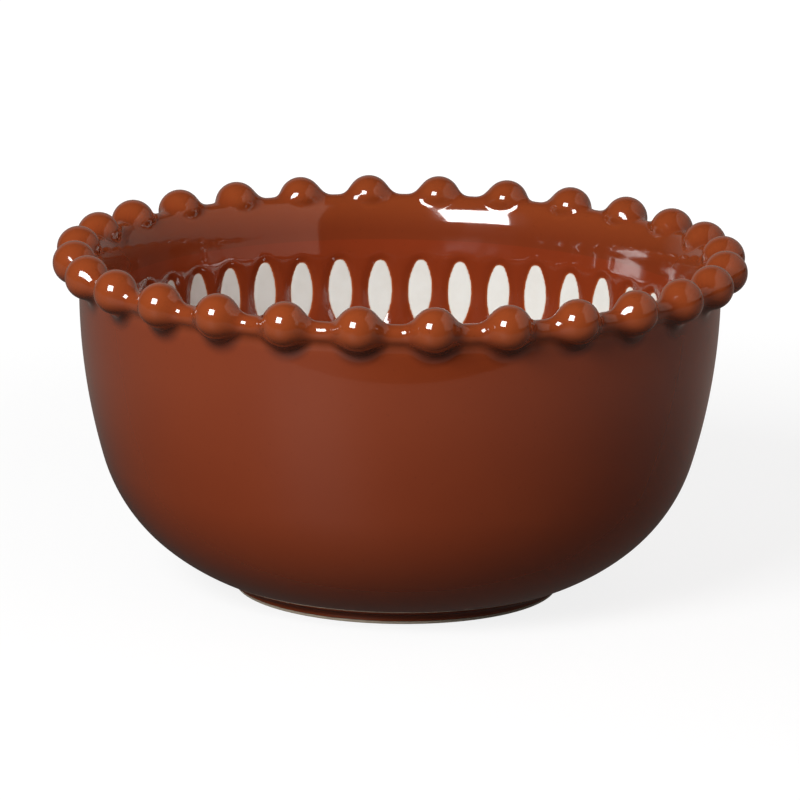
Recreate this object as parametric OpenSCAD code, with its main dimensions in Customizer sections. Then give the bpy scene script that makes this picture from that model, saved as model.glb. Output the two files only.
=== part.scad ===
// A beaded stoneware bowl: a clay wall turned on a foot ring, a rounded lip that carries a
// ring of pressed beads, a coloured glaze over all but the foot's lower edge, and a band of
// pale almond petals let into the glaze of the inside wall.
// Lengths are millimetres, +Z is up, and the origin is the centre of the resting face.

/* [Wall] */
// Outside radius of the wall at its top edge
wall_rim_r = 106; // [102:1:116]
// Height of the wall's top edge above the table
wall_h = 102; // [96:0.5:113]
// Thickness of the wall with its glaze
wall_t = 7.4; // [6.6:0.1:8]
// How far the upper wall leans in between its top edge and the belly
side_lean = 8.2; // [7:0.1:9.2]
// Share of the wall's height where the upper wall runs into the belly
belly_top_share = 0.44; // [0.41:0.01:0.47]
// Share of the belly's radius against one arc down to the foot
belly_share = 0.95; // [0.9:0.01:0.97]
// Share of the lower wall's profile radius against the belly's
base_share = 1.28; // [1.15:0.01:1.5]

/* [Floor and foot] */
// Height of the glazed floor inside
floor_z = 10; // [9:0.1:12]
// Profile radius between the floor and the inside wall
floor_blend_r = 25; // [18:1:32]
// Share of the foot ring's outside radius against the wall's
foot_share = 0.51; // [0.48:0.01:0.53]
// Width of the clay foot ring
foot_ring_w = 5.5; // [5:0.5:9]
// Height where the lower wall would meet the foot's side
foot_h = 3.2; // [2.8:0.1:4.2]
// Radius of the hollow between the foot's side and the lower wall
foot_fillet_r = 2; // [1.5:0.1:2.6]
// Rounding of the foot's resting edges
foot_edge_r = 0.6; // [0.3:0.1:0.8]

/* [Lip] */
// Radius of the lip's rounded outside
lip_r = 3.4; // [3:0.1:3.8]
// How far the lip's crest lies inside the wall's outside
lip_in = 0.8; // [0.4:0.1:1.4]
// Radius of the hollow between the lip and the outside wall
lip_fillet_r = 5; // [4:0.1:6]
// Profile radius of the flare between the inside wall and the lip
flare_r = 20; // [14:1:26]
// Share of the crest's profile radius against the lip's outside
crest_share = 1.25; // [1.1:0.05:1.5]

/* [Beads] */
// Number of beads around the rim
bead_count = 28; // [24:1:30]
// Radius of a bead
bead_r = 7.3; // [6.8:0.1:8]
// How far the ring of bead centres lies outside the wall's top edge
bead_out = 1.6; // [1:0.1:2.4]
// How far the bead centres lie above the middle of the lip's outside
bead_lift = 2.1; // [1.4:0.1:2.6]
// Turn of the first bead from the front
first_bead_turn = 5.96; // [0:0.01:12]
// Radius of the hollow where a bead runs out into the lip
neck_fillet_r = 4.5; // [3.5:0.1:5.5]
// How far a bead's neck sinks under the lip's surface
neck_sink = 0.2; // [0.1:0.05:0.4]

/* [Glaze] */
// Thickness of the glaze
glaze_t = 0.5; // [0.3:0.05:0.8]
// Height of the bare clay under the glaze's lower edge
bare_edge_h = 1.1; // [0.9:0.1:1.3]

/* [Petals] */
// Number of petals around the inside wall
petal_count = 44; // [36:1:46]
// Width of a petal
petal_w = 8.4; // [7:0.1:9]
// Length of a petal if both its ends were sharp
petal_l = 25; // [21:0.5:27]
// Radius of a petal's upper tip
petal_tip_r = 2.2; // [1.6:0.1:2.6]
// How far a petal's middle lies under the wall's top edge
petal_drop = 22.5; // [20:0.5:26]
// Depth of a petal's face under the coloured glaze
petal_dip = 0.12; // [0.05:0.01:0.2]

/* [Hidden] */
// Beads' names count up from 01
function bead_name(i) = str("rim_bead_", i < 10 ? "0" : "", i);
$fn = 144;

clay_colour = [0.86, 0.80, 0.71];
rust_colour = [0.58, 0.27, 0.14];
cream_colour = [0.90, 0.87, 0.81];

// Cuts run this far past what they cut, and bands of a profile this far into each other
overrun = 1;
// Two arcs that touch cross cleanly when the smaller one is this much larger
arc_lap = 0.002;
// Larger than any radius of the bowl
reach = 2 * wall_rim_r;

// Unit vector from one point to another
function way(from, to) = (to - from) / norm(to - from);
// Centre of the circle that leaves a point along a given inward normal and passes through another
function arc_centre(at, inward, through) =
  at + inward * ((through - at) * (through - at)) / (2 * ((through - at) * inward));
// Where two arcs meet, moved in by a depth along the normal that they share
function inset(centre, joint, depth) = joint + way(joint, centre) * depth;
// Third corner of a triangle over the side from one point to another, by its other two sides
function apex(from, to, from_l, to_l) =
  let (
    side = way(from, to),
    run = (pow(norm(to - from), 2) + pow(from_l, 2) - pow(to_l, 2)) / (2 * norm(to - from))
  )
  from + side * run + [side[1], -side[0]] * sqrt(pow(from_l, 2) - pow(run, 2));

// Foot ring with its glaze, and the clay bore inside it
foot_r = wall_rim_r * foot_share;
foot_bore_r = foot_r - glaze_t - foot_ring_w;
foot_corner = [foot_r, foot_h];

// Upper wall: upright at its top edge, through the top of the belly
side_top = [wall_rim_r, wall_h];
belly_top = [wall_rim_r - side_lean, wall_h * belly_top_share];
side_c = arc_centre(side_top, [-1, 0], belly_top);
side_r = norm(side_top - side_c);

// Belly: runs on from the upper wall, a little tighter than one arc down to the foot would
belly_r = norm(arc_centre(belly_top, way(belly_top, side_c), foot_corner) - belly_top) * belly_share;
belly_c = belly_top + way(belly_top, side_c) * belly_r;

// Lower wall: a wider arc that touches the belly's and meets the foot's side
base_r = belly_r * base_share;
base_c = apex(belly_c, foot_corner, base_r - belly_r, base_r);
belly_low = belly_c + way(base_c, belly_c) * belly_r;

// Hollow that rounds the corner between the lower wall and the foot's side
foot_fillet_x = foot_r + foot_fillet_r;
foot_fillet_c = [
  foot_fillet_x,
  base_c[1] - sqrt(pow(base_r + foot_fillet_r, 2) - pow(foot_fillet_x - base_c[0], 2))
];
// Where that hollow touches the lower wall, at a depth under the glaze
function foot_top(depth) = base_c + way(base_c, foot_fillet_c) * (base_r - depth);
// The clay foot ring ends here, under the clay of the floor
foot_seat_z = foot_top(glaze_t)[1];

// Inside: the wall's arcs set in by its thickness, then a blend to the flat floor
inner_base_r = base_r - wall_t;
floor_c_z = floor_z + floor_blend_r;
floor_c = [
  base_c[0] + sqrt(pow(inner_base_r - floor_blend_r, 2) - pow(base_c[1] - floor_c_z, 2)),
  floor_c_z
];
inner_rim_r = wall_rim_r - wall_t;

// Lip: its outside is rounded, and runs into the outside wall by a hollow
lip_hollow_c = [wall_rim_r + lip_fillet_r, wall_h];
lip_c_r = wall_rim_r - lip_in;
lip_c = [lip_c_r, wall_h + sqrt(pow(lip_r + lip_fillet_r, 2) - pow(lip_hollow_c[0] - lip_c_r, 2))];
crest_z = lip_c[1] + lip_r;

// Flare: the inside wall bends out to the lip, and a smaller round ends it level at the crest
crest_r = lip_r * crest_share;
crest_c = [lip_c_r, crest_z - crest_r];
flare_c = apex(side_c, crest_c, side_r - wall_t + flare_r, flare_r - crest_r);
flare_joint = flare_c + way(flare_c, side_c) * flare_r;
crest_joint = flare_c + way(flare_c, crest_c) * flare_r;

// Beads: their ring, and the neck on each side that runs out into the lip
bead_ring_r = wall_rim_r + bead_out;
bead_z = lip_c[1] + bead_lift;
bead_pitch = 360 / bead_count;
neck_r = lip_r - neck_sink;
neck_reach = sqrt(pow(bead_r + neck_fillet_r, 2) - pow(neck_r + neck_fillet_r, 2));
// Turn around the rim from a bead's centre to where its neck ends on the lip's centre line
neck_turn = acos(
  (pow(bead_ring_r, 2) + pow(lip_c[0], 2) + pow(bead_lift, 2) - pow(neck_reach, 2))
  / (2 * bead_ring_r * lip_c[0])
);
neck_end = [lip_c[0] * cos(neck_turn) - bead_ring_r, lip_c[0] * sin(neck_turn), -bead_lift];
neck_tilt = acos(neck_end[2] / norm(neck_end));
neck_side = atan2(neck_end[1], neck_end[0]);

// Petals: two arcs that cross at both ends, the upper end rounded by a small arc
petal_arc_r = (pow(petal_w, 2) + pow(petal_l, 2)) / (4 * petal_w);
petal_arc_x = petal_arc_r - petal_w / 2;
petal_tip_y = sqrt(pow(petal_arc_r - petal_tip_r, 2) - pow(petal_arc_x, 2));
petal_cut_y = petal_tip_y * petal_arc_r / (petal_arc_r - petal_tip_r);
petal_pitch = 360 / petal_count;
petal_z = wall_h - petal_drop;

// Half plane strip from the axis outwards, between two heights
module strip(low_z, high_z) {
  translate([0, low_z]) square([reach, high_z - low_z]);
}

// All between the axis and the outer side of a circle, between two heights
module disc_strip(centre, radius, low_z, high_z) {
  intersection() {
    translate(centre) circle(radius);
    strip(low_z, high_z);
  }
  if (centre[0] > 0)
    translate([0, low_z]) square([centre[0], high_z - low_z]);
}

// All that lies inside the outer surface, set in by a depth. The belly's circle touches the
// other two from inside, so its band runs on past both its joints.
module outer_form(depth) {
  top_joint = inset(side_c, belly_top, depth);
  low_joint = inset(belly_c, belly_low, depth);
  foot_joint = foot_top(depth);
  foot_side = foot_r - depth;
  disc_strip(side_c, side_r - depth, top_joint[1], wall_h);
  disc_strip(belly_c, belly_r - depth + arc_lap, low_joint[1] - overrun, top_joint[1] + overrun);
  disc_strip(base_c, base_r - depth, 0, low_joint[1]);
  difference() {
    polygon([
      [0, 0],
      [foot_side, 0],
      [foot_side, foot_fillet_c[1]],
      foot_joint,
      [0, foot_joint[1]]
    ]);
    translate(foot_fillet_c) circle(foot_fillet_r + depth);
  }
}

// The hollow of the bowl, grown by a depth into its wall
module inner_form(depth) {
  wall_depth = wall_t - depth;
  flare_low_z = inset(flare_c, flare_joint, depth)[1];
  top_joint = inset(side_c, belly_top, wall_depth);
  low_joint = inset(belly_c, belly_low, wall_depth);
  floor_joint = base_c + way(base_c, floor_c) * (inner_base_r + depth);
  floor_low = floor_z - depth;
  difference() {
    translate([0, flare_low_z]) square([flare_c[0], wall_h + overrun - flare_low_z]);
    translate(flare_c) circle(flare_r - depth + arc_lap);
  }
  disc_strip(side_c, side_r - wall_depth, top_joint[1], flare_low_z + overrun);
  disc_strip(belly_c, belly_r - wall_depth + arc_lap, low_joint[1] - overrun, top_joint[1] + overrun);
  disc_strip(base_c, base_r - wall_depth, floor_joint[1], low_joint[1]);
  disc_strip(floor_c, floor_blend_r + depth + arc_lap, floor_low, floor_joint[1] + overrun);
}

// Glaze of the inside wall between two depths
module inner_skin(face_depth, back_depth) {
  rotate_extrude() intersection() {
    difference() {
      inner_form(back_depth);
      inner_form(face_depth);
    }
    strip(0, wall_h);
  }
}

// Outline of the lip's round outside; it laps the crest's round, which laps the flare
module lip_round() {
  translate(lip_c) circle(lip_r + 3 * arc_lap);
}

// Outline of the rest of the lip, from a height inside the wall's top up to the crest
module lip_body(low_z) {
  left_r = lip_c_r - lip_r;
  difference() {
    polygon([
      [left_r, low_z],
      [wall_rim_r, low_z],
      [wall_rim_r, wall_h],
      lip_c + way(lip_c, lip_hollow_c) * lip_r,
      lip_c,
      [left_r, lip_c[1]]
    ]);
    translate(lip_hollow_c) circle(lip_fillet_r);
  }
  intersection() {
    translate(flare_c) circle(flare_r + arc_lap);
    translate([0, wall_h]) square([lip_c_r, crest_joint[1] - wall_h]);
  }
  intersection() {
    translate(crest_c) circle(crest_r + 2 * arc_lap);
    translate([0, wall_h]) square([lip_c_r, bead_z]);
  }
}

// Outline of one petal, upright, about its middle
module petal_outline() {
  intersection() {
    translate([petal_arc_x, 0]) circle(petal_arc_r);
    translate([-petal_arc_x, 0]) circle(petal_arc_r);
    translate([-petal_w, -petal_l]) square([2 * petal_w, petal_l + petal_cut_y]);
  }
  translate([0, petal_tip_y]) circle(petal_tip_r + arc_lap);
}

// Level prisms of all petals, run out through the glaze; none stands on the +X line
module petal_prisms() {
  for (i = [1:petal_count])
    rotate([0, 0, i * petal_pitch - petal_pitch / 2])
      translate([inner_rim_r - wall_t - side_lean, 0, petal_z])
        rotate([90, 0, 90]) linear_extrude(side_lean + 2 * wall_t) petal_outline();
}

// Flared neck from a bead's centre to the lip, along +Z
module neck() {
  hollow_c = [neck_r + neck_fillet_r, neck_reach];
  rotate_extrude() difference() {
    polygon([[0, 0], hollow_c, [0, neck_reach]]);
    translate(hollow_c) circle(neck_fillet_r + arc_lap);
  }
}

// One bead that straddles the lip, with a neck to each side
module rim_bead(i) {
  seat_low_z = bead_z - bead_r - overrun;
  color(rust_colour) rotate([0, 0, first_bead_turn - 90 + (i - 1) * bead_pitch])
    difference() {
      difference() {
        translate([bead_ring_r, 0, bead_z]) {
          sphere(bead_r);
          rotate([0, neck_tilt, neck_side]) neck();
          rotate([0, neck_tilt, -neck_side]) neck();
        }
        rotate_extrude() lip_round();
      }
      rotate_extrude() lip_body(seat_low_z);
    }
}

// Fired clay of the wall and the floor
module clay_wall() {
  color(clay_colour) rotate_extrude() difference() {
    intersection() {
      outer_form(glaze_t);
      strip(foot_seat_z, wall_h);
    }
    inner_form(glaze_t);
  }
}

// Clay ring that the bowl stands on, its lower edges rounded and bare
module foot_ring() {
  side = foot_r - glaze_t;
  color(clay_colour) rotate_extrude() {
    difference() {
      polygon([
        [foot_bore_r, foot_seat_z],
        [foot_bore_r, foot_edge_r],
        [foot_bore_r + foot_edge_r, 0],
        [side - foot_edge_r, 0],
        [side, foot_edge_r],
        [side, foot_fillet_c[1]],
        foot_top(glaze_t)
      ]);
      translate(foot_fillet_c) circle(foot_fillet_r + glaze_t);
    }
    translate([foot_bore_r + foot_edge_r, foot_edge_r]) circle(foot_edge_r);
    translate([side - foot_edge_r, foot_edge_r]) circle(foot_edge_r);
  }
}

// Coloured glaze of the outside wall and the foot's side, down to the bare edge
module outer_glaze() {
  color(rust_colour) rotate_extrude() intersection() {
    difference() {
      outer_form(0);
      outer_form(glaze_t);
    }
    strip(bare_edge_h, wall_h);
  }
}

// Coloured glaze of the inside, open where the petals are
module inner_glaze() {
  color(rust_colour) difference() {
    inner_skin(0, glaze_t);
    petal_prisms();
  }
}

// Coloured glaze under the floor and down the bore of the foot ring
module base_glaze() {
  color(rust_colour) rotate_extrude() polygon([
    [0, foot_seat_z],
    [0, foot_seat_z - glaze_t],
    [foot_bore_r - glaze_t, foot_seat_z - glaze_t],
    [foot_bore_r - glaze_t, bare_edge_h],
    [foot_bore_r, bare_edge_h],
    [foot_bore_r, foot_seat_z]
  ]);
}

// Pale petals let into the glaze of the inside wall
module petal_inlays() {
  color(cream_colour) intersection() {
    inner_skin(petal_dip, glaze_t);
    petal_prisms();
  }
}

// Rounded lip that closes the wall's top edge
module rim_lip() {
  color(rust_colour) rotate_extrude() {
    lip_round();
    lip_body(wall_h);
  }
}

clay_wall();
foot_ring();
outer_glaze();
inner_glaze();
base_glaze();
petal_inlays();
rim_lip();
for (i = [1:bead_count])
  rim_bead(i);
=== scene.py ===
"""Looks of a beaded stoneware bowl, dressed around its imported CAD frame.

The bowl is worked out in millimetres, and make_piece turns it into Blender's metres.
The room, the lamp and the camera are in metres.
"""

import math

import bpy
import numpy as np
from mathutils import Matrix, Vector


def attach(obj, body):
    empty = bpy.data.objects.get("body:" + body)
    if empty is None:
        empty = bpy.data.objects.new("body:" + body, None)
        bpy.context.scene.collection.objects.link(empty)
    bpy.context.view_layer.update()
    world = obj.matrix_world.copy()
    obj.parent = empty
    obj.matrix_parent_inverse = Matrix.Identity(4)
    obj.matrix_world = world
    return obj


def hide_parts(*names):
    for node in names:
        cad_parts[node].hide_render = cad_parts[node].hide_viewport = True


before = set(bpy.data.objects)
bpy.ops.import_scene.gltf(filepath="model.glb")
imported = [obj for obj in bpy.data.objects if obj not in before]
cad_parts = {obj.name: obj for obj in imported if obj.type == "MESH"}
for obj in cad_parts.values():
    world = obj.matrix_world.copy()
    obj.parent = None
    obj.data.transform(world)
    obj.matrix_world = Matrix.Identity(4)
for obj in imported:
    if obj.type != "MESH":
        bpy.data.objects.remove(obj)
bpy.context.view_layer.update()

MM = 0.001
TURN = 2 * math.pi
# Stands for a distance that is too far to matter
FAR = 50.0

# Sizes of the bowl as the CAD has them
RIM_R, WALL_H, WALL_T, SIDE_LEAN = 106.0, 102.0, 7.4, 8.2
BELLY_TOP_SHARE, BELLY_SHARE, BASE_SHARE, FOOT_SHARE = 0.44, 0.95, 1.28, 0.51
FOOT_H, FOOT_HOLLOW_R, BARE_EDGE_H = 3.2, 2.0, 1.1
FLOOR_Z, FLOOR_R = 10.0, 25.0
LIP_R, LIP_IN, LIP_HOLLOW_R, CREST_SHARE, FLARE_R = 3.4, 0.8, 5.0, 1.25, 20.0
BEADS, BEAD_R, BEAD_OUT, BEAD_LIFT = 28, 7.3, 1.6, 2.1
FIRST_BEAD = math.radians(5.96) - math.pi / 2


def way(start, end):
    """Unit vector from one point to another."""
    return (end - start) / np.linalg.norm(end - start)


def arc_centre(at, inward, through):
    """Centre of the circle that leaves a point along an inward normal and meets another."""
    step = through - at
    return at + inward * (step @ step) / (2 * (step @ inward))


def leg(long_side, short_side):
    """The other short side of a right-angled triangle."""
    return math.sqrt(long_side ** 2 - short_side ** 2)


def apex(start, end, from_start, from_end):
    """Third corner of a triangle over a side, by its other two sides."""
    side, length = way(start, end), np.linalg.norm(end - start)
    run = (length ** 2 + from_start ** 2 - from_end ** 2) / (2 * length)
    return start + side * run + np.array([side[1], -side[0]]) * leg(from_start, run)


# The bowl's profile as (radius, height), solved in the same way as in the CAD
FOOT_R = RIM_R * FOOT_SHARE
FOOT_CORNER = np.array([FOOT_R, FOOT_H])
BELLY_TOP = np.array([RIM_R - SIDE_LEAN, WALL_H * BELLY_TOP_SHARE])
SIDE_C = arc_centre(np.array([RIM_R, WALL_H]), np.array([-1.0, 0.0]), BELLY_TOP)
SIDE_R = RIM_R - SIDE_C[0]
BELLY_R = BELLY_SHARE * np.linalg.norm(
    arc_centre(BELLY_TOP, way(BELLY_TOP, SIDE_C), FOOT_CORNER) - BELLY_TOP)
BELLY_C = BELLY_TOP + way(BELLY_TOP, SIDE_C) * BELLY_R
BASE_R = BELLY_R * BASE_SHARE
BASE_C = apex(BELLY_C, FOOT_CORNER, BASE_R - BELLY_R, BASE_R)
BELLY_LOW = BELLY_C + way(BASE_C, BELLY_C) * BELLY_R
FOOT_C = np.array([FOOT_R + FOOT_HOLLOW_R, 0.0])
FOOT_C[1] = BASE_C[1] - leg(BASE_R + FOOT_HOLLOW_R, FOOT_C[0] - BASE_C[0])
FOOT_TOP = BASE_C + way(BASE_C, FOOT_C) * BASE_R
FLOOR_C = np.array([0.0, FLOOR_Z + FLOOR_R])
FLOOR_C[0] = BASE_C[0] + leg(BASE_R - WALL_T - FLOOR_R, BASE_C[1] - FLOOR_C[1])
FLOOR_TOP = BASE_C + way(BASE_C, FLOOR_C) * (BASE_R - WALL_T)

# The rim's profile: lip, hollow outside it, crest and flare inside it
LIP_HOLLOW_C = np.array([RIM_R + LIP_HOLLOW_R, WALL_H])
LIP_C = np.array([RIM_R - LIP_IN, WALL_H])
LIP_C[1] += leg(LIP_R + LIP_HOLLOW_R, LIP_HOLLOW_C[0] - LIP_C[0])
CREST_R = LIP_R * CREST_SHARE
CREST_C = np.array([LIP_C[0], LIP_C[1] + LIP_R - CREST_R])
FLARE_C = apex(SIDE_C, CREST_C, SIDE_R - WALL_T + FLARE_R, FLARE_R - CREST_R)
BEAD_RING_R = RIM_R + BEAD_OUT
BEAD_Z = LIP_C[1] + BEAD_LIFT

# The petals, as the CAD has them, and the inside wall's radius at their height
PETALS, PETAL_W, PETAL_L, PETAL_TIP_R = 44, 8.4, 25.0, 2.2
PETAL_Z = WALL_H - 22.5
PETAL_ARC_R = (PETAL_W ** 2 + PETAL_L ** 2) / (4 * PETAL_W)
PETAL_ARC_X = PETAL_ARC_R - PETAL_W / 2
PETAL_TIP_Y = leg(PETAL_ARC_R - PETAL_TIP_R, PETAL_ARC_X)
PETAL_WALL_R = 100.0

# How much the petals differ, as hand work does: lean in degrees, size as a share, height
PETAL_SEED = 44
LEAN_SPREAD, SIZE_SPREAD, LIFT_SPREAD = 1.6, 0.018, 0.35

# Heights where the coats of the outside, the rim and the inside meet, the height of the narrow
# row at a seam, and the lower end of the inside's fine band
OUTER_SEAM_Z, INNER_SEAM_Z, SEAM_ROW, BAND_LOW_Z = 96.0, 97.0, 0.05, 58.0

# A bead's fillet inside and outside the rim, and the radii where each begins
INSIDE_BLEND, OUTSIDE_BLEND = 2.0, 4.2
BLEND_R = [101, 106]
# How far a bead is worn back inside, and the radii where the wear begins and is full
INSIDE_WEAR, WEAR_FROM_R, WEAR_FULL_R = 1.5, 104, 101

# How thin and warm the glaze is over lip and beads; painted shade with pooled glaze under each
# bead: in from its ring, down from its middle, and the distances where it begins and is full
LIP_THIN, BEAD_THIN, BEAD_THIN_REACH = 0.3, 0.42, 2.5
SHADE_IN, SHADE_DOWN, POOL_SHADE_FROM, POOL_SHADE_FULL = 1.0, 3.4, 9.8, 6.2
# The same at the outside's bare edge, and painted shade with pooled glaze over the foot
EDGE_THIN, EDGE_THIN_REACH, FOOT_POOL_SHADE = 0.5, 1.2, 0.5

# The ridge over the petals: how steeply the inside leans in at each height, added to the plain
# wall's own lean. The swell that this adds up to is none at the lip and none far below.
RIDGE_KNOTS_Z = [30, 40, 90, 93.2, 98, 100, 103]
RIDGE_KNOTS_LEAN = [0, -0.0288, -0.0288, 0.18, 0.18, 0.12, 0]
RIDGE_Z, RIDGE_STEP = np.linspace(RIDGE_KNOTS_Z[0], RIDGE_KNOTS_Z[-1], 731, retstep=True)
RIDGE_LEAN = np.interp(RIDGE_Z, RIDGE_KNOTS_Z, RIDGE_KNOTS_LEAN)
RIDGE_SWELL = np.cumsum(RIDGE_LEAN[::-1])[::-1] * RIDGE_STEP

# Relief round the petals: the coloured glaze dips towards them, steps down at their edge and
# runs on under the pale glaze
DIP, DIP_REACH = 0.62, 2.0
EDGE_STEP, EDGE_REACH = 0.12, 0.35
UNDER_PETAL, UNDER_REACH = 0.45, 0.5
PETAL_DIP, PETAL_RIM_DIP, PETAL_RIM_REACH = 0.68, 0.06, 0.5

# The glaze's rounded lower edge, as steps from the foot's side and its bare edge
GLAZE_EDGE = np.array([[-0.7, 0.30], [-0.38, 0.02], [-0.12, 0.04], [0.06, 0.22], [0.06, 0.42]])


def fade(value, zero, one):
    """Share of the way from one number to another, kept between 0 and 1."""
    return np.clip((value - zero) / (one - zero), 0, 1)


def eased(share):
    """A share that starts and ends gently."""
    return share * share * (3 - 2 * share)


def placed(r, a, z):
    """Points from radius, angle and height."""
    return np.stack([r * np.cos(a), r * np.sin(a), z], -1)


def on_circle(centre, radius, t):
    """Points of a flat circle at each angle."""
    return centre + radius * np.stack([np.cos(t), np.sin(t)], -1)


def arc(centre, radius, z_from, z_to, step):
    """Points on the outer side of a circle between two heights, one step apart."""
    a, b = (math.asin((z - centre[1]) / radius) for z in (z_from, z_to))
    count = max(2, int(math.ceil(abs(b - a) * radius / step)) + 1)
    return on_circle(centre, radius, np.linspace(a, b, count))


def joined(*parts):
    """One line from parts that start where the one before ends."""
    return np.concatenate([parts[0]] + [p[1:] for p in parts[1:]])


def turned(profile, angles):
    """Points of a profile of (radius, height) turned to each angle."""
    r, z = (np.repeat(profile[:, k][:, None], len(angles), 1) for k in (0, 1))
    return placed(r, angles, z)


def turn_angles(count):
    """Angles spread evenly over a full turn."""
    return np.arange(count) * TURN / count


def grid_faces(rows, cols, wrap=True, first=0):
    """Quads of a grid of points, row by row; the columns close on themselves when wrapped."""
    last = cols if wrap else cols - 1
    r, c = np.meshgrid(np.arange(rows - 1), np.arange(last), indexing="ij")
    at, beside = r * cols + c, r * cols + (c + 1) % cols
    quads = np.stack([at, beside, beside + cols, at + cols], -1)
    return (quads.reshape(-1, 4) + first).tolist()


def add_object(name, data):
    """A new object in the scene."""
    thing = bpy.data.objects.new(name, data)
    bpy.context.scene.collection.objects.link(thing)
    return thing


def make_piece(name, points, faces, values):
    """A smooth mesh object that rides on the bowl, with named numbers stored on its points."""
    mesh = bpy.data.meshes.new(name)
    mesh.from_pydata((points * MM).tolist(), [], faces)
    for key, numbers in values.items():
        attribute = mesh.attributes.new(key, "FLOAT", "POINT")
        attribute.data.foreach_set("value", np.asarray(numbers, dtype=np.float32))
    mesh.shade_smooth()
    mesh.update()
    piece = add_object(name, mesh)
    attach(piece, "root")
    return piece


def ridge(z):
    """How far the inside swells in over the plain wall: most just above the petals."""
    return np.interp(z, RIDGE_Z, RIDGE_SWELL)


def side_radius(z, depth):
    """Radius of the upper wall at a height, at a depth under its outer surface."""
    return SIDE_C[0] + np.sqrt((SIDE_R - depth) ** 2 - (z - SIDE_C[1]) ** 2)


def past(origin, direction, r, z):
    """True where a point lies to the left of a ray."""
    return (r - origin[0]) * direction[1] - (z - origin[1]) * direction[0] < 0


def round_distance(centre, radius, r, z):
    """Signed distance to a circle."""
    return np.hypot(r - centre[0], z - centre[1]) - radius


def wall_distance(r, z):
    """Signed distance to the section of the wall and lip, exact near its surface."""
    side = SIDE_R - WALL_T - round_distance(SIDE_C, 0, r, z)
    flare = round_distance(FLARE_C, FLARE_R, r, z)
    inner = np.where(past(SIDE_C, FLARE_C - SIDE_C, r, z), flare, side) - ridge(z)
    over = ~past(FLARE_C, CREST_C - FLARE_C, r, z) & (z > CREST_C[1])
    inside = np.where(over, round_distance(CREST_C, CREST_R, r, z), inner)
    lip = round_distance(LIP_C, LIP_R, r, z)
    hollow = -round_distance(LIP_HOLLOW_C, LIP_HOLLOW_R, r, z)
    top = np.where(past(LIP_HOLLOW_C, LIP_C - LIP_HOLLOW_C, r, z), hollow, lip)
    outer = np.where(z < WALL_H, round_distance(SIDE_C, SIDE_R, r, z), top)
    return np.where(r < LIP_C[0], inside, np.maximum(inner, outer))


def smooth_union(a, b, blend):
    """Union of two distances with a fillet, and how deep in the fillet each point is."""
    depth = np.clip(1 - np.abs(a - b) / blend, 0, 1)
    return np.minimum(a, b) - depth * depth * blend / 4, depth


def rim_distance(p):
    """Distances near the bead at angle 0, for points of (radius, angle, height).

    Gives the distance to the rim, how deep in a fillet a point is, and how far from a bead.
    """
    r, a, z = p[..., 0], p[..., 1], p[..., 2]
    inside = fade(r, WEAR_FROM_R, WEAR_FULL_R) * fade(z, BEAD_Z + 2, BEAD_Z - 3)
    worn = INSIDE_WEAR * eased(inside)
    blend = np.interp(r, BLEND_R, [INSIDE_BLEND, OUTSIDE_BLEND])
    total = wall_distance(r, z)
    pooled, nearest = np.zeros_like(r), np.full_like(r, FAR)
    for bead in (0, -1, 1):
        turn = a - bead * TURN / BEADS
        x, y = r * np.cos(turn) - BEAD_RING_R, r * np.sin(turn)
        ball = np.sqrt(x * x + y * y + (z - BEAD_Z) ** 2) - BEAD_R
        total, depth = smooth_union(total, ball + worn, blend)
        pooled, nearest = np.maximum(pooled, depth), np.minimum(nearest, ball)
    return total, pooled, nearest


def rim_gradient(p):
    """Gradient of the rim's distance in (radius, along, height), by small steps each way."""
    h = 1e-3
    out = np.empty_like(p)
    for axis in range(3):
        step = np.zeros_like(p)
        step[..., axis] = h / p[..., 0] if axis == 1 else h
        out[..., axis] = (rim_distance(p + step)[0] - rim_distance(p - step)[0]) / (2 * h)
    return out


def onto_rim(p, tries):
    """Moves points along the gradient onto the rim's surface."""
    least_size = 0.25
    for _ in range(tries):
        g = rim_gradient(p)
        size = np.maximum((g * g).sum(-1), least_size)
        move = g * (rim_distance(p)[0] / size)[..., None]
        p = p - np.stack([move[..., 0], move[..., 1] / p[..., 0], move[..., 2]], -1)
    return p


def rim_start(rows):
    """A first line of (radius, height) over the rim, from the outer seam to the inner seam."""
    low_z, inside_r, reach, past_level = BEAD_Z - 7, 101.0, 9.0, 0.6
    few, many = 12, 40
    up = np.stack([np.full(few, RIM_R + 1), np.linspace(OUTER_SEAM_Z, low_z, few)], -1)
    t = np.linspace(-past_level, math.pi + past_level, many)
    over = on_circle(LIP_C + [1, 0.5], reach, t)
    down = np.stack([np.full(few, inside_r), np.linspace(low_z, INNER_SEAM_Z, few)], -1)
    line = np.concatenate([up, over, down])
    length = np.concatenate([[0], np.cumsum(np.hypot(*np.diff(line, axis=0).T))])
    at = np.linspace(0, length[-1], rows)
    return np.stack([np.interp(at, length, line[:, k]) for k in (0, 1)], -1)


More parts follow.
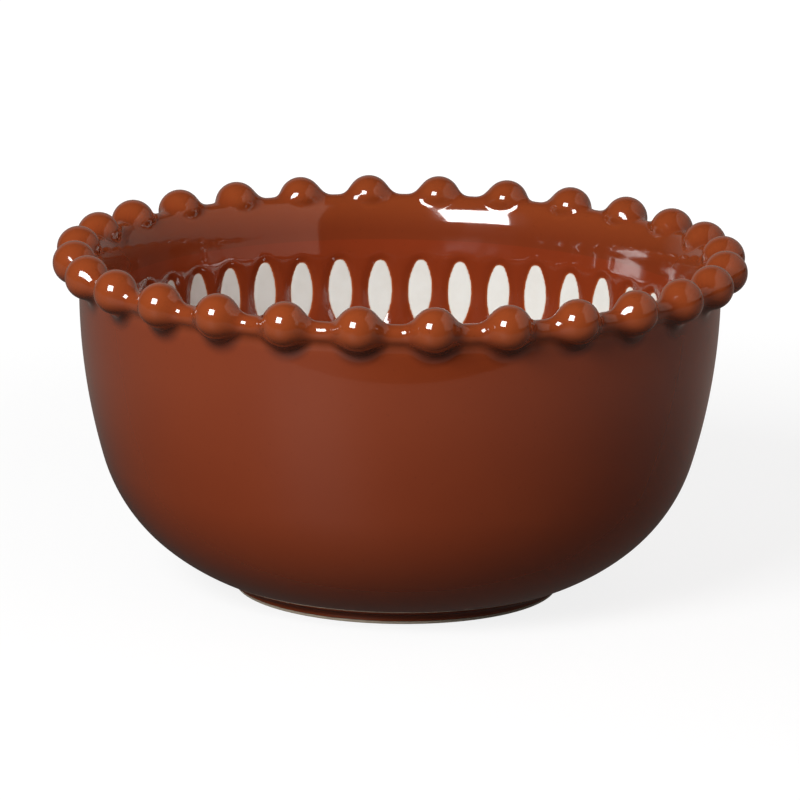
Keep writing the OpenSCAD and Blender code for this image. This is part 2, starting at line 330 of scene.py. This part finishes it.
def rim_sector(rows, cols):
    """Points of one bead's share of the rim, evenly spread, as (radius, angle, height)."""
    rounds, pull = 160, 0.7
    pitch = TURN / BEADS
    angles = (np.arange(cols) / cols - 0.5) * pitch
    line = rim_start(rows)
    p = np.empty((rows, cols, 3))
    p[..., 0] = line[:, 0][:, None]
    p[..., 1] = angles
    p[..., 2] = line[:, 1][:, None]
    p = onto_rim(p, tries=12)
    inner_r = side_radius(INNER_SEAM_Z, WALL_T) - ridge(INNER_SEAM_Z)
    seams = {0: (side_radius(OUTER_SEAM_Z, 0), OUTER_SEAM_Z), -1: (inner_r, INNER_SEAM_Z)}
    for _ in range(rounds):
        left = np.roll(p, 1, axis=1)
        left[:, 0, 1] -= pitch
        right = np.roll(p, -1, axis=1)
        right[:, -1, 1] += pitch
        mean = (left[1:-1] + right[1:-1] + p[:-2] + p[2:]) / 4
        p[1:-1] += pull * (mean - p[1:-1])
        p = onto_rim(p, tries=1)
        for row, (r, z) in seams.items():
            p[row, :, 0], p[row, :, 1], p[row, :, 2] = r, angles, z
    return onto_rim(p, tries=2)


def rim_tones(p):
    """How thin the glaze is over lip and beads, and painted shade with pooled glaze under each
    bead.
    """
    r, a, z = p[..., 0], p[..., 1], p[..., 2]
    pooled, nearest = rim_distance(p)[1:]
    on_lip = LIP_THIN * fade(z, WALL_H - 2, WALL_H + 7)
    on_bead = BEAD_THIN * fade(nearest, BEAD_THIN_REACH, 0) * fade(z, WALL_H + 1, WALL_H + 6)
    thin = np.maximum(on_bead, on_lip) * (1 - 0.4 * pooled)
    # Painted shade: a dark patch on the outside under each bead, where its shadow falls
    x, y = r * np.cos(a) - BEAD_RING_R + SHADE_IN, r * np.sin(a)
    near = fade(np.sqrt(x * x + y * y + (z - BEAD_Z + SHADE_DOWN) ** 2), POOL_SHADE_FROM, POOL_SHADE_FULL)
    pool_and_shade = near * fade(z, BEAD_Z - 2.5, BEAD_Z - 6.5) * fade(r, RIM_R - 2, RIM_R - 1)
    return thin, pool_and_shade


def rim_coat():
    """Lip and beads as one glazed skin that runs down onto the wall on both sides."""
    rows, cols = 74, 34
    p = rim_sector(rows, cols)
    shape = (rows, BEADS, cols)
    r, z, thin, pool_and_shade = (np.broadcast_to(values[:, None, :], shape).reshape(-1)
                        for values in (p[..., 0], p[..., 2], *rim_tones(p)))
    bead_angles = FIRST_BEAD + turn_angles(BEADS)
    a = (p[:, None, :, 1] + bead_angles[None, :, None]).reshape(-1)
    piece = make_piece("rim_glaze_coat", placed(r, a, z), grid_faces(rows, BEADS * cols),
                       {"thin": thin, "pool_and_shade": pool_and_shade})
    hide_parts("rim_lip", *[f"rim_bead_{i:02d}" for i in range(1, BEADS + 1)])
    return piece


def outer_coat():
    """Glaze of the outside wall, with a rounded lower edge over the bare clay of the foot."""
    cols = 560
    edge = np.concatenate([GLAZE_EDGE + [FOOT_R, BARE_EDGE_H], [[FOOT_R, FOOT_C[1]]]])
    rise = math.atan2(FOOT_TOP[1] - FOOT_C[1], FOOT_TOP[0] - FOOT_C[0])
    hollow = on_circle(FOOT_C, FOOT_HOLLOW_R, np.linspace(math.pi, rise, 10))
    base = arc(BASE_C, BASE_R, FOOT_TOP[1], BELLY_LOW[1], step=1.2)
    belly = arc(BELLY_C, BELLY_R, BELLY_LOW[1], BELLY_TOP[1], step=1.4)
    side = arc(SIDE_C, SIDE_R, BELLY_TOP[1], OUTER_SEAM_Z - SEAM_ROW, step=1.6)
    seam = arc(SIDE_C, SIDE_R, OUTER_SEAM_Z - SEAM_ROW, OUTER_SEAM_Z, step=1)
    line = joined(edge, hollow, base, belly, side, seam)
    points = turned(line, turn_angles(cols)).reshape(-1, 3)
    z = points[:, 2]
    thin = EDGE_THIN * fade(np.abs(z - BARE_EDGE_H), EDGE_THIN_REACH, 0)
    # Painted shade, with pooled glaze, over the foot
    pool_and_shade = FOOT_POOL_SHADE * fade(z, FOOT_TOP[1] + 1, FOOT_TOP[1] - 1)
    piece = make_piece("outer_glaze_coat", points, grid_faces(len(line), cols),
                       {"thin": thin, "pool_and_shade": pool_and_shade})
    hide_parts("outer_glaze")
    return piece


def petal_frames():
    """Angle, lean, size and lift of each petal."""
    rng = np.random.default_rng(PETAL_SEED)
    angles = (np.arange(PETALS) + 0.5) * TURN / PETALS
    lean = np.radians(rng.normal(0, LEAN_SPREAD, PETALS))
    size = 1 + rng.normal(0, SIZE_SPREAD, PETALS)
    lift = rng.normal(0, LIFT_SPREAD, PETALS)
    return zip(angles, lean, size, lift)


def petal_distance(x, y):
    """Signed distance to a petal's outline: two arcs, and a small round at the upper tip."""
    x = np.abs(x)
    sides = np.hypot(x + PETAL_ARC_X, y) - PETAL_ARC_R
    tip = np.hypot(x, y - PETAL_TIP_Y) - PETAL_TIP_R
    return np.where(y > PETAL_TIP_Y * (x + PETAL_ARC_X) / PETAL_ARC_X, tip, sides)


def all_petals_distance(a, z):
    """Distance over the inside wall to the nearest petal's outline."""
    reach = 16
    best = np.full(a.shape, FAR)
    for centre, lean, size, lift in petal_frames():
        x = ((a - centre + math.pi) % TURN - math.pi) * PETAL_WALL_R
        y = z - PETAL_Z - lift
        near = np.abs(x) < reach
        u = (x[near] * math.cos(lean) + y[near] * math.sin(lean)) / size
        v = (-x[near] * math.sin(lean) + y[near] * math.cos(lean)) / size
        best[near] = np.minimum(best[near], petal_distance(u, v) * size)
    return best


def coat_dip(d):
    """How deep the coloured glaze lies in the swelled wall, by distance from a petal."""
    out = np.maximum(d, 0)
    near = DIP * np.exp(-(out / DIP_REACH) ** 2) + EDGE_STEP * np.exp(-out / EDGE_REACH)
    return near + UNDER_PETAL * fade(d, 0, -UNDER_REACH)


def petal_dip(d):
    """How deep a petal's pale glaze lies in the swelled wall, by distance from its outline."""
    past_edge = np.minimum(d, PETAL_RIM_REACH)
    return PETAL_DIP + PETAL_RIM_DIP * np.exp(past_edge / PETAL_RIM_REACH)


def inner_band(angles):
    """Rows of points round the petals, and their distances from the nearest petal."""
    seam, fine, low = [INNER_SEAM_Z, INNER_SEAM_Z - SEAM_ROW], np.linspace(96, 64, 72), [62, 60]
    heights = np.concatenate([seam, fine, low, [BAND_LOW_Z]])
    a, z = np.meshgrid(angles, heights)
    d = all_petals_distance(a, z)
    at_ends = fade(z, INNER_SEAM_Z, INNER_SEAM_Z - 2) * fade(z, BAND_LOW_Z, BAND_LOW_Z + 4)
    r = side_radius(z, WALL_T) - ridge(z) + coat_dip(d) * at_ends
    return placed(r, a, z), d


def inner_line():
    """The inside's profile from just below the fine band to the floor, near its middle."""
    low = BELLY_LOW + way(BELLY_LOW, BELLY_C) * WALL_T
    top = BELLY_TOP + way(BELLY_TOP, SIDE_C) * WALL_T
    side = arc(SIDE_C, SIDE_R - WALL_T, BAND_LOW_Z, top[1], step=2.2)
    belly = arc(BELLY_C, BELLY_R - WALL_T, top[1], low[1], step=2.2)
    base = arc(BASE_C, BASE_R - WALL_T, low[1], FLOOR_TOP[1], step=2.2)
    start = math.asin((FLOOR_TOP[1] - FLOOR_C[1]) / FLOOR_R)
    blend = on_circle(FLOOR_C, FLOOR_R, np.linspace(start, -math.pi / 2, 9))
    flat = np.stack([np.linspace(FLOOR_C[0], 1.5, 12), np.full(12, FLOOR_Z)], -1)
    line = joined(side, belly, base, blend, flat)[1:]
    line[:, 0] -= ridge(line[:, 1])
    return line


def inner_coat():
    """Glaze of the inside: a fine band round the petals, and a coarser wall and floor."""
    ratio = 4
    cols = PETALS * 24
    coarse = cols // ratio
    angles = turn_angles(cols)
    band, d = inner_band(angles)
    line = inner_line()
    lower = turned(line, angles[::ratio])
    points = np.concatenate([band.reshape(-1, 3), lower.reshape(-1, 3), [[0, 0, FLOOR_Z]]])
    centre = len(points) - 1
    last_fine, first, last = d.size - cols, d.size, centre - coarse
    faces = grid_faces(len(band), cols)
    for c in range(coarse):
        fine = [last_fine + (ratio * c + k) % cols for k in range(ratio + 1)]
        faces.append(fine + [first + (c + 1) % coarse, first + c])
    faces += grid_faces(len(line), coarse, first=first)
    faces += [[last + c, last + (c + 1) % coarse, centre] for c in range(coarse)]
    petal = np.full(len(points), FAR)
    petal[:d.size] = d.reshape(-1)
    piece = make_piece("inner_glaze_coat", points, faces, {"petal": petal})
    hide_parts("inner_glaze")
    return piece


def petal_grid(along, across):
    """A grid over one petal, a little past its outline, as two arrays across and up."""
    lap, least_half = 0.5, 0.02
    low, top = -PETAL_L / 2, PETAL_TIP_Y + PETAL_TIP_R
    y = (top + low) / 2 - np.cos(np.linspace(0, math.pi, along)) * (top - low) / 2
    sides = np.sqrt(PETAL_ARC_R ** 2 - y ** 2) - PETAL_ARC_X
    tip = np.sqrt(np.maximum(PETAL_TIP_R ** 2 - (y - PETAL_TIP_Y) ** 2, 0))
    tip_from = PETAL_TIP_Y * PETAL_ARC_R / (PETAL_ARC_R - PETAL_TIP_R)
    half = np.maximum(np.where(y > tip_from, tip, sides) + lap, least_half)
    x = half[:, None] * np.sin(np.linspace(-math.pi / 2, math.pi / 2, across))
    y = y * (1 + 2 * lap / PETAL_L)
    return x, np.repeat(y[:, None], across, 1)


def petal_pieces():
    """Pale petals: thin pads whose edges run a little way under the coloured glaze."""
    along, across = 36, 13
    x, y = petal_grid(along, across)
    d = petal_distance(x, y)
    points, faces = [], []
    for i, (centre, lean, size, lift) in enumerate(petal_frames()):
        u = (x * math.cos(lean) - y * math.sin(lean)) * size
        v = (x * math.sin(lean) + y * math.cos(lean)) * size
        z = PETAL_Z + lift + v
        r = side_radius(z, WALL_T) - ridge(z) + petal_dip(d)
        points.append(placed(r, centre + u / PETAL_WALL_R, z).reshape(-1, 3))
        faces += grid_faces(along, across, wrap=False, first=i * d.size)
    inset = np.tile(-d.reshape(-1), PETALS)
    piece = make_piece("petal_pads", np.concatenate(points), faces, {"inset": inset})
    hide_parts("petal_inlays")
    return piece


def srgb(r, g, b):
    """A written colour as linear light."""
    def one(c):
        c /= 255
        return c / 12.92 if c <= 0.04045 else ((c + 0.055) / 1.055) ** 2.4
    return (one(r), one(g), one(b), 1)


# Colours of the glazes and the clay
RUST, RUST_CLOUD, RUST_SPECK = srgb(131, 55, 26), srgb(120, 47, 23), srgb(92, 34, 18)
# The darkest rust is painted shade with pooled glaze, under the beads and over the foot
RUST_THIN, RUST_POOL_SHADE, INNER_RUST = srgb(172, 84, 40), srgb(52, 17, 8), srgb(142, 56, 26)
CREAM, CREAM_CLOUD, CREAM_EDGE = srgb(245, 246, 240), srgb(238, 237, 229), srgb(216, 178, 146)
CLAY, CLAY_CLOUD, CLAY_SPECK = srgb(214, 200, 180), srgb(198, 180, 156), srgb(120, 92, 70)


class Nodes:
    """The node tree of a material or world, with short calls for the nodes used here."""

    def __init__(self, owner):
        owner.use_nodes = True
        self.owner = owner
        self.tree = owner.node_tree

    def add(self, kind, **settings):
        """A new node with its settings."""
        node = self.tree.nodes.new("ShaderNode" + kind)
        for key, value in settings.items():
            setattr(node, key, value)
        return node

    def feed(self, value, socket):
        """Links a socket to another node, or sets its plain value."""
        if isinstance(value, bpy.types.NodeSocket):
            self.tree.links.new(value, socket)
        else:
            socket.default_value = value

    def set(self, node, **sockets):
        """Feeds a node's sockets by name, with _ for a space."""
        for key, value in sockets.items():
            self.feed(value, node.inputs[key.replace("_", " ")])
        return node

    def number(self, name):
        """A number stored on the mesh's points."""
        return self.add("Attribute", attribute_name=name).outputs["Fac"]

    def place(self, kind="Object"):
        """Where a point is, on its object or in the sky."""
        return self.add("TexCoord").outputs[kind]

    def noise(self, size_mm, detail):
        """Soft blotches of a size in millimetres, with finer ones in them for more detail."""
        mapping = self.add("Mapping")
        self.set(mapping, Scale=[1 / (size_mm * MM)] * 3, Vector=self.place())
        node = self.add("TexNoise")
        self.set(node, Scale=1, Detail=detail, Vector=mapping.outputs["Vector"])
        return node.outputs["Fac"]

    def ramp(self, value, low, high, out_low=0.0, out_high=1.0, kind="SMOOTHSTEP"):
        """A value carried from one range to another."""
        node = self.add("MapRange", interpolation_type=kind)
        self.set(node, Value=value, From_Min=low, From_Max=high, To_Min=out_low, To_Max=out_high)
        return node.outputs["Result"]

    def between(self, share, low, high):
        """A number that goes evenly from low to high with a share."""
        return self.ramp(share, 0, 1, low, high, kind="LINEAR")

    def wander(self, size_mm, low, high, detail=2):
        """A number that wanders between two values, over blotches of a size."""
        return self.ramp(self.noise(size_mm, detail), 0.3, 0.7, low, high)

    def specks(self, size_mm, rarity, share):
        """A share in small scattered specks, and none between them."""
        noise, softness = self.noise(size_mm, detail=1), 0.08
        return self.ramp(noise, rarity, rarity + softness, out_high=share)

    def math(self, kind, a, b):
        """Two numbers put together."""
        node = self.add("Math", operation=kind)
        self.feed(a, node.inputs[0])
        self.feed(b, node.inputs[1])
        return node.outputs[0]

    def mix(self, share, a, b):
        """A colour that goes from one to another with a share."""
        node = self.add("Mix", data_type="RGBA")
        self.feed(share, node.inputs[0])
        self.feed(a, node.inputs[6])
        self.feed(b, node.inputs[7])
        return node.outputs[2]

    def bump(self, height, strength, depth_mm):
        """A surface that is a little uneven."""
        node = self.set(self.add("Bump"), Strength=strength, Distance=depth_mm * MM, Height=height)
        return node.outputs["Normal"]

    def rays(self, *kinds):
        """One where a ray is of any of these kinds, else zero."""
        path = self.add("LightPath").outputs
        share = path[kinds[0]]
        for kind in kinds[1:]:
            share = self.math("MAXIMUM", share, path[kind])
        return share

    def layered(self, *shaders):
        """Several shaders added up."""
        total = shaders[0].outputs[0]
        for shader in shaders[1:]:
            node = self.add("AddShader")
            self.feed(total, node.inputs[0])
            self.feed(shader.outputs[0], node.inputs[1])
            total = node.outputs[0]
        return total


def new_material(name):
    """Nodes of a new material, and its shader."""
    n = Nodes(bpy.data.materials.new(name))
    return n, n.tree.nodes["Principled BSDF"]


def glossy(n, shader, body, thin):
    """What both rust glazes share: a clear coat over a slightly softer body."""
    colour = n.mix(n.wander(38, low=0, high=0.25, detail=3), body, RUST_CLOUD)
    colour = n.mix(thin, colour, RUST_THIN)
    specks = n.specks(1.1, rarity=0.70, share=0.2)
    n.set(shader, Base_Color=n.mix(specks, colour, RUST_SPECK))
    n.set(shader, Roughness=n.wander(9, low=0.07, high=0.12), IOR=1.5)
    n.set(shader, Coat_Weight=1.0, Coat_Roughness=0.03, Coat_IOR=1.55)
    n.set(shader, Normal=n.bump(n.noise(16, detail=1), strength=0.25, depth_mm=0.12))


def rust_glaze():
    """Glaze of the outside and the rim: orange where it thins, dark with painted shade and pooled
    glaze under the beads and over the foot.
    """
    n, shader = new_material("rust_glaze")
    # Painted shade: darkens the rust under the beads and over the foot
    body = n.mix(n.math("MULTIPLY", n.number("pool_and_shade"), 0.85), RUST, RUST_POOL_SHADE)
    glossy(n, shader, body, n.number("thin"))
    return n.owner


def inner_rust_glaze():
    """The same glaze inside, thin and warm only along the petals' edges."""
    edge_width = 0.8
    n, shader = new_material("inner_rust_glaze")
    glossy(n, shader, INNER_RUST, n.ramp(n.number("petal"), edge_width, 0))
    return n.owner


def cream_glaze():
    """Pale glaze of the petals, a little warmer where the rust glaze bleeds into its edge."""
    n, shader = new_material("cream_glaze")
    clouds = n.ramp(n.noise(6, detail=3), 0.35, 0.7, out_high=0.5)
    edge = n.ramp(n.number("inset"), 0.35, 0.05, out_high=0.6)
    colour = n.mix(edge, n.mix(clouds, CREAM, CREAM_CLOUD), CREAM_EDGE)
    n.set(shader, Base_Color=colour, Roughness=n.wander(5, low=0.12, high=0.2), IOR=1.5)
    n.set(shader, Normal=n.bump(n.noise(5, detail=1), strength=0.2, depth_mm=0.08))
    return n.owner


def fired_clay():
    """Bare fired clay: matt, pale, finely grained, with a few darker specks."""
    n, shader = new_material("fired_clay")
    body = n.mix(n.noise(5, detail=4), CLAY, CLAY_CLOUD)
    specks = n.specks(0.5, rarity=0.68, share=0.6)
    n.set(shader, Base_Color=n.mix(specks, body, CLAY_SPECK))
    n.set(shader, Roughness=n.wander(2, low=0.7, high=0.9))
    n.set(shader, Normal=n.bump(n.noise(0.35, detail=3), strength=0.5, depth_mm=0.06))
    return n.owner


def paint(piece, material):
    """Gives a piece, or a CAD node's object, its one material."""
    piece.data.materials.clear()
    piece.data.materials.append(material)


# How far the room reaches, where the table ends in front, and the tone of table and floor
ROOM_REACH, TABLE_EDGE_Y, PAPER_TONE = 6.0, -0.385, 0.22
# The table's white as the camera sees it, near the bowl and far from it, and where it changes
NEAR_WHITE, FAR_WHITE, WHITE_FROM, WHITE_TO = 0.84, 1.0, 0.2, 0.7
# Painted reflection of table and front floor in the glaze, dimmer near the bowl as painted shade
TABLE_SHEEN, FRONT_SHEEN, NEAR_SHEEN_SHARE, SHEEN_FROM, SHEEN_TO = 0.155, 0.01, 0.28, 0.08, 0.34
# The gloss of both, as the glaze shows it
POLISH, POLISH_ROUGHNESS = 0.025, 0.5
# Soft light from all round; what the glaze shows of the dark room and of its brighter back
FILL, DARK_ROOM, BACKDROP, BACK_FROM, BACK_TO = 0.20, 0.015, 0.25, 0.5, 0.8
# What the glaze shows of the room is a little warm
WHITE, ROOM_TINT = (1, 1, 1, 1), (1.0, 0.72, 0.63, 1)
# The card: its colour, the two places that it stands over, and its lower and upper edge
CARD_COLOUR = (0.56, 0.40, 0.34, 1)
CARD_FRONT, CARD_BACK, CARD_LOW, CARD_HIGH = (0.195, -0.253), (0.23, 0.30), 0.125, 0.5
# The key lamp: its way from the bowl to the camera's right, up and back, and its size
KEY_WAY, KEY_DISTANCE, KEY_SIZE, KEY_WATTS = (-0.455, 0.31, 0.835), 1.6, (0.72, 0.70), 25
BOWL_MIDDLE = Vector((0, 0, 0.08))
# The camera, as fitted to the centres of the beads in the photo
CAMERA_PLACE = Vector((-0.00034, -2.22804, 0.57704))
CAMERA_FORWARD = Vector((0.000369, 0.974382, -0.224898)).normalized()
CAMERA_UP = Vector((-0.014198, 0.224881, 0.974283))
CAMERA_LENS, CAMERA_SENSOR = 310.19, 36


def flat_piece(name, corners, material):
    """A flat sheet that belongs to the room, not to the bowl."""
    mesh = bpy.data.meshes.new(name)
    mesh.from_pydata(corners, [], [(0, 1, 2, 3)])
    piece = add_object(name, mesh)
    paint(piece, material)
    return piece


def white_or_warm(n):
    """White for every ray but those that the glaze throws back, which are warm."""
    return n.mix(n.rays("Is Glossy Ray"), WHITE, ROOM_TINT)


def paper(name, sheen):
    """White to the camera, a dim painted reflection in the glaze with painted shade near the bowl,
    and plain paper to all other light.
    """
    n = Nodes(bpy.data.materials.new(name))
    n.tree.nodes.clear()
    length = n.add("VectorMath", operation="LENGTH")
    n.feed(n.place(), length.inputs[0])
    distance = length.outputs["Value"]
    white = n.ramp(distance, WHITE_FROM, WHITE_TO, NEAR_WHITE, FAR_WHITE)
    seen = n.math("MULTIPLY", n.rays("Is Camera Ray", "Is Transmission Ray"), white)
    # Painted reflection: the sheet glows to glossy rays only, with painted shade near the bowl
    dim = n.ramp(distance, SHEEN_FROM, SHEEN_TO, NEAR_SHEEN_SHARE * sheen, sheen)
    shine = n.math("MULTIPLY", n.rays("Is Glossy Ray"), dim)
    glow = n.set(n.add("Emission"), Strength=n.math("ADD", seen, shine), Color=white_or_warm(n))
    tone = n.between(n.rays("Is Glossy Ray"), PAPER_TONE, 0)
    diffuse = n.set(n.add("BsdfDiffuse"), Color=tone)
    gloss = n.between(n.rays("Is Glossy Ray"), 0, POLISH)
    polish = n.set(n.add("BsdfGlossy"), Roughness=POLISH_ROUGHNESS, Color=gloss)
    n.set(n.add("OutputMaterial"), Surface=n.layered(glow, diffuse, polish))
    return n.owner


def sheet_corners(front_y, back_y):
    """Corners of a level sheet as wide as the room, between two depths."""
    return [(-ROOM_REACH, front_y, 0), (ROOM_REACH, front_y, 0),
            (ROOM_REACH, back_y, 0), (-ROOM_REACH, back_y, 0)]


def white_room():
    """A pale table that keeps the shadow, a floor in front of it, and a white surround."""
    table = sheet_corners(TABLE_EDGE_Y, ROOM_REACH)
    flat_piece("table", table, paper("table_paper", TABLE_SHEEN))
    front = sheet_corners(-ROOM_REACH, TABLE_EDGE_Y)
    flat_piece("front", front, paper("front_paper", FRONT_SHEEN))
    world = bpy.data.worlds.new("studio")
    bpy.context.scene.world = world
    n = Nodes(world)
    base = n.between(n.rays("Is Glossy Ray"), FILL, DARK_ROOM)
    seen = n.between(n.rays("Is Camera Ray", "Is Transmission Ray"), 0, 1 - FILL)
    axes = n.set(n.add("SeparateXYZ"), Vector=n.place("Generated"))
    behind = n.ramp(axes.outputs["Y"], BACK_FROM, BACK_TO, 0, BACKDROP, kind="LINEAR")
    shine = n.math("MULTIPLY", n.rays("Is Glossy Ray"), behind)
    strength = n.math("ADD", n.math("ADD", base, seen), shine)
    n.set(n.tree.nodes["Background"], Color=white_or_warm(n), Strength=strength)


def side_card():
    """A warm card on the bowl's right, out of the picture, that throws the key's light back."""
    n, shader = new_material("card_paper")
    n.set(shader, Base_Color=CARD_COLOUR, Roughness=1.0)
    corners = [(*CARD_FRONT, CARD_LOW), (*CARD_BACK, CARD_LOW),
               (*CARD_BACK, CARD_HIGH), (*CARD_FRONT, CARD_HIGH)]
    card = flat_piece("card", corners, n.owner)
    card.visible_camera = False
    card.visible_shadow = False


def camera_axes():
    """Right, up and back of the camera."""
    right = CAMERA_FORWARD.cross(CAMERA_UP).normalized()
    return right, right.cross(CAMERA_FORWARD).normalized(), -CAMERA_FORWARD


def add_key_lamp():
    """One large soft lamp, up and to the left of the camera, that faces the bowl."""
    data = bpy.data.lights.new("key_softbox", "AREA")
    data.shape = "RECTANGLE"
    data.size, data.size_y = KEY_SIZE
    data.energy = KEY_WATTS
    light = add_object("key_softbox", data)
    light.visible_camera = False
    right, up, back = (axis * share for axis, share in zip(camera_axes(), KEY_WAY))
    light.location = BOWL_MIDDLE + (right + up + back).normalized() * KEY_DISTANCE
    aim = BOWL_MIDDLE - light.location
    light.rotation_euler = aim.to_track_quat("-Z", "Y").to_euler()


def add_camera():
    """The camera at the photo's place, angle and lens."""
    data = bpy.data.cameras.new("camera")
    data.lens = CAMERA_LENS
    data.sensor_width = CAMERA_SENSOR
    camera = add_object("camera", data)
    turn = Matrix(camera_axes()).transposed().to_4x4()
    camera.matrix_world = Matrix.Translation(CAMERA_PLACE) @ turn
    bpy.context.scene.camera = camera


rust = rust_glaze()
paint(rim_coat(), rust)
paint(outer_coat(), rust)
paint(inner_coat(), inner_rust_glaze())
paint(petal_pieces(), cream_glaze())
clay = fired_clay()
paint(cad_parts["clay_wall"], clay)
paint(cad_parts["foot_ring"], clay)
paint(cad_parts["base_glaze"], rust)

white_room()
side_card()
add_key_lamp()
add_camera()
bpy.context.scene.view_settings.view_transform = "Standard"
